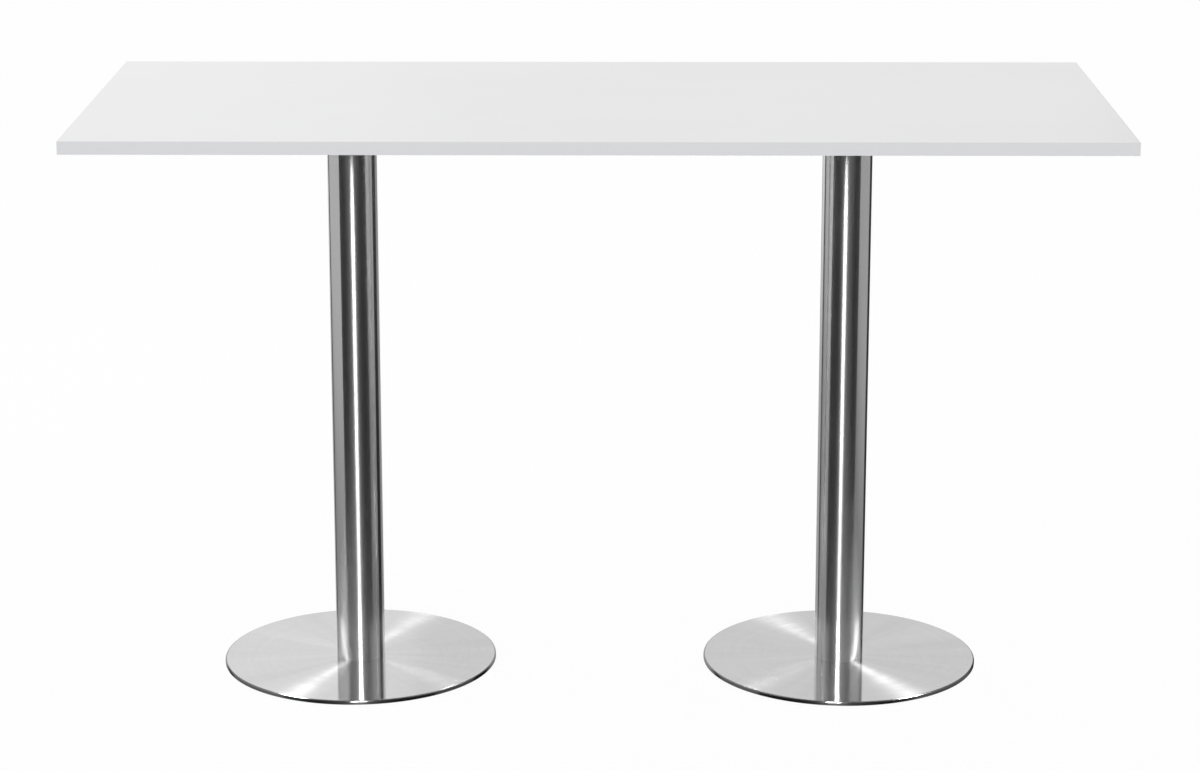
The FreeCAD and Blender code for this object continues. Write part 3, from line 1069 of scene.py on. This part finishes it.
@dataclass(frozen=True)
class Room:
    """What stands far off round the table: even light, and the backdrop and cloth for the metal.

    Angles are degrees of the turn from straight in front of the table, and heights are those of
    a direction: 0 is level and 1 straight up. The levels are what the metal shows there. The
    cloth in front glows a little towards its middle, and the ceiling above it towards its sides.
    """

    light: float = 0.93
    backdrop: float = 0.82
    backdrop_low: float = 0.33
    backdrop_heights: Span = (-0.05, 0.1)
    backdrop_turns: Span = (125.5, 128.5)
    cloth: float = 0.034
    front_glow: float = 0.1
    front_turns: Span = (8.0, 40.0)
    ceiling: float = 0.42
    ceiling_heights: Span = (0.08, 0.3)
    ceiling_turns: Span = (40.0, 72.0)
    ceiling_front: float = 0.2

    def hangings(self, graph: Graph) -> Signal:
        """Work out what the metal sees in a direction.

        Args:
            graph: the world's nodes.

        Returns:
            The level of the backdrop, the cloth or the ceiling.
        """
        x, y, z = graph.split(graph.signal("ShaderNodeTexCoord", None, None, "Generated"))
        turn = graph.math("ABSOLUTE", graph.math("ARCTAN2", x, y * -1.0)) * (180.0 / math.pi)
        lift = z.between(*self.backdrop_heights)
        white = self.backdrop_low + lift * (self.backdrop - self.backdrop_low)
        aside = self.ceiling_front + turn.between(*self.ceiling_turns) * (1.0 - self.ceiling_front)
        above = z.between(*self.ceiling_heights) * aside * self.ceiling
        front = (1.0 - turn.between(*self.front_turns)) * self.front_glow
        cloth = self.cloth + front + above
        return cloth + turn.between(*self.backdrop_turns) * (white - cloth)

    def build(self) -> None:
        """Light the room evenly, white for the camera and with the hangings for the metal."""
        world = bpy.data.worlds.new("studio")
        bpy.context.scene.world = world
        world.use_nodes = True
        world.cycles.sampling_method = "NONE"
        graph = Graph(world.node_tree)
        glossy = graph.ray("Glossy")
        plain = (graph.ray("Camera") + graph.ray("Transmission")).at_most(1.0)
        rest = 1.0 - (plain + glossy).at_most(1.0)
        strength = plain + glossy * (1.0 - plain) * self.hangings(graph) + rest * self.light
        sockets = {"Color": (1.0, 1.0, 1.0), "Strength": strength}
        light = graph.signal("ShaderNodeBackground", None, sockets)
        graph.node("ShaderNodeOutputWorld", None, {"Surface": light})
        LOG.info("room: light %.2f, backdrop %.2f", self.light, self.backdrop)


@dataclass(frozen=True)
class Camera:
    """The camera, where the photograph was taken from. Its angles are radians."""

    place: Point = (0.03744, -5.75013, 2.08467)
    tilt_down: float = 0.2452
    turn_left: float = 0.0064
    lens: float = 98.398
    sensor_width: float = 36.0
    shift_y: float = -0.0546

    def build(self) -> None:
        """Stand the camera up and let the scene use it."""
        data = bpy.data.cameras.new("camera")
        data.sensor_width = self.sensor_width
        data.lens = self.lens
        data.shift_y = self.shift_y
        camera = bpy.data.objects.new("camera", data)
        camera.location = self.place
        camera.rotation_euler = (math.pi / 2.0 - self.tilt_down, 0.0, self.turn_left)
        bpy.context.scene.collection.objects.link(camera)
        bpy.context.scene.camera = camera
        LOG.info("camera: %.1f mm", self.lens)


@dataclass
class Studio:
    """A plain white studio.

    The metal shows a white backdrop behind the table, a grey wall at each side and black cloth
    in the gaps and round the camera, which gives the columns their light and dark bands.
    """

    steel: bpy.types.Collection
    covers: bpy.types.Collection
    room: Room = Room()

    def walls(self) -> Iterator[Wall]:
        """List a grey wall beside each end of the table, the cloth next to it and a screen behind.

        Returns:
            The walls and cloths.
        """
        cloth = self.room.cloth
        left_corner = (-2.6, 1.75)
        right_corner = (1.1, 0.45)
        yield Wall("left_wall", front=(-1.74, -0.78), back=left_corner, level=0.635)
        yield Wall("left_cloth", front=left_corner, back=(-2.58, 3.7), level=cloth)
        yield Wall("right_wall", front=(2.79, -1.34), back=right_corner, level=0.48, dimmed=0.4)
        yield Wall("right_cloth", front=right_corner, back=(1.17, 1.6), level=cloth)
        yield Wall("back_screen", front=(-2.4, 2.4), back=(-0.5, 2.4), level=0.94, top=3.0)

    def lamps(self) -> Iterator[Softbox]:
        """List the lamps.

        Three light the feet: one high beyond each end of the table, facing straight down, and
        one behind it. A tall one above the camera draws the line down each column, and a soft
        one lights the whole table from behind its left end.

        Returns:
            The lamps.
        """
        yield Softbox(
            "left_lamp",
            centre=(-1.78, 0.17, 2.3),
            facing=(-1.78, 0.17, 0.0),
            width=0.42,
            height=0.8,
            radiance=290.0,
            only_on=self.covers,
        )
        yield Softbox(
            "right_lamp",
            centre=(1.88, 0.28, 2.3),
            facing=(1.88, 0.28, 0.0),
            width=0.5,
            height=0.75,
            radiance=345.0,
            only_on=self.covers,
        )
        yield Softbox(
            "back_lamp",
            centre=(0.0, 2.5, 2.0),
            facing=(0.0, 0.0, 0.5),
            width=0.1,
            height=0.3,
            radiance=48.0,
            only_on=self.covers,
        )
        yield Softbox(
            "strip_lamp",
            centre=(-0.22, -5.03, 2.78),
            facing=(-0.22, 0.0, 2.78),
            width=1.05,
            height=1.8,
            radiance=95.0,
            only_on=self.steel,
        )
        yield Softbox(
            "key_lamp",
            centre=(-3.2, 2.2, 3.2),
            facing=(0.0, 0.0, 1.0),
            width=2.2,
            height=2.2,
            radiance=1.5,
        )

    def build(self) -> None:
        """Set up the whole studio."""
        for thing in (Floor(), self.room, *self.walls(), *self.lamps(), Camera()):
            thing.build()
        bpy.context.scene.view_settings.view_transform = "Standard"


def gather(name: str, *parts: str) -> bpy.types.Collection:
    """Gather parts of both pedestals for a lamp that lights nothing else.

    Args:
        name: the collection's name.
        parts: the parts' names without their side.

    Returns:
        A collection that the scene doesn't show by itself.
    """
    gathered = bpy.data.collections.new(name)
    for side in Side:
        for part in parts:
            gathered.objects.link(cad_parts[f"{side.value}_{part}"])
    return gathered


def main() -> None:
    """Build the studio and dress the table, piece by piece."""
    logging.basicConfig(level=logging.INFO, format="%(message)s")
    steel = gather("steel", "base_cover", "column_tube")
    Studio(steel, gather("covers", "base_cover")).build()
    Top().dress()
    for side in Side:
        Pedestal(side).dress()


if __name__ == "__main__":
    main()
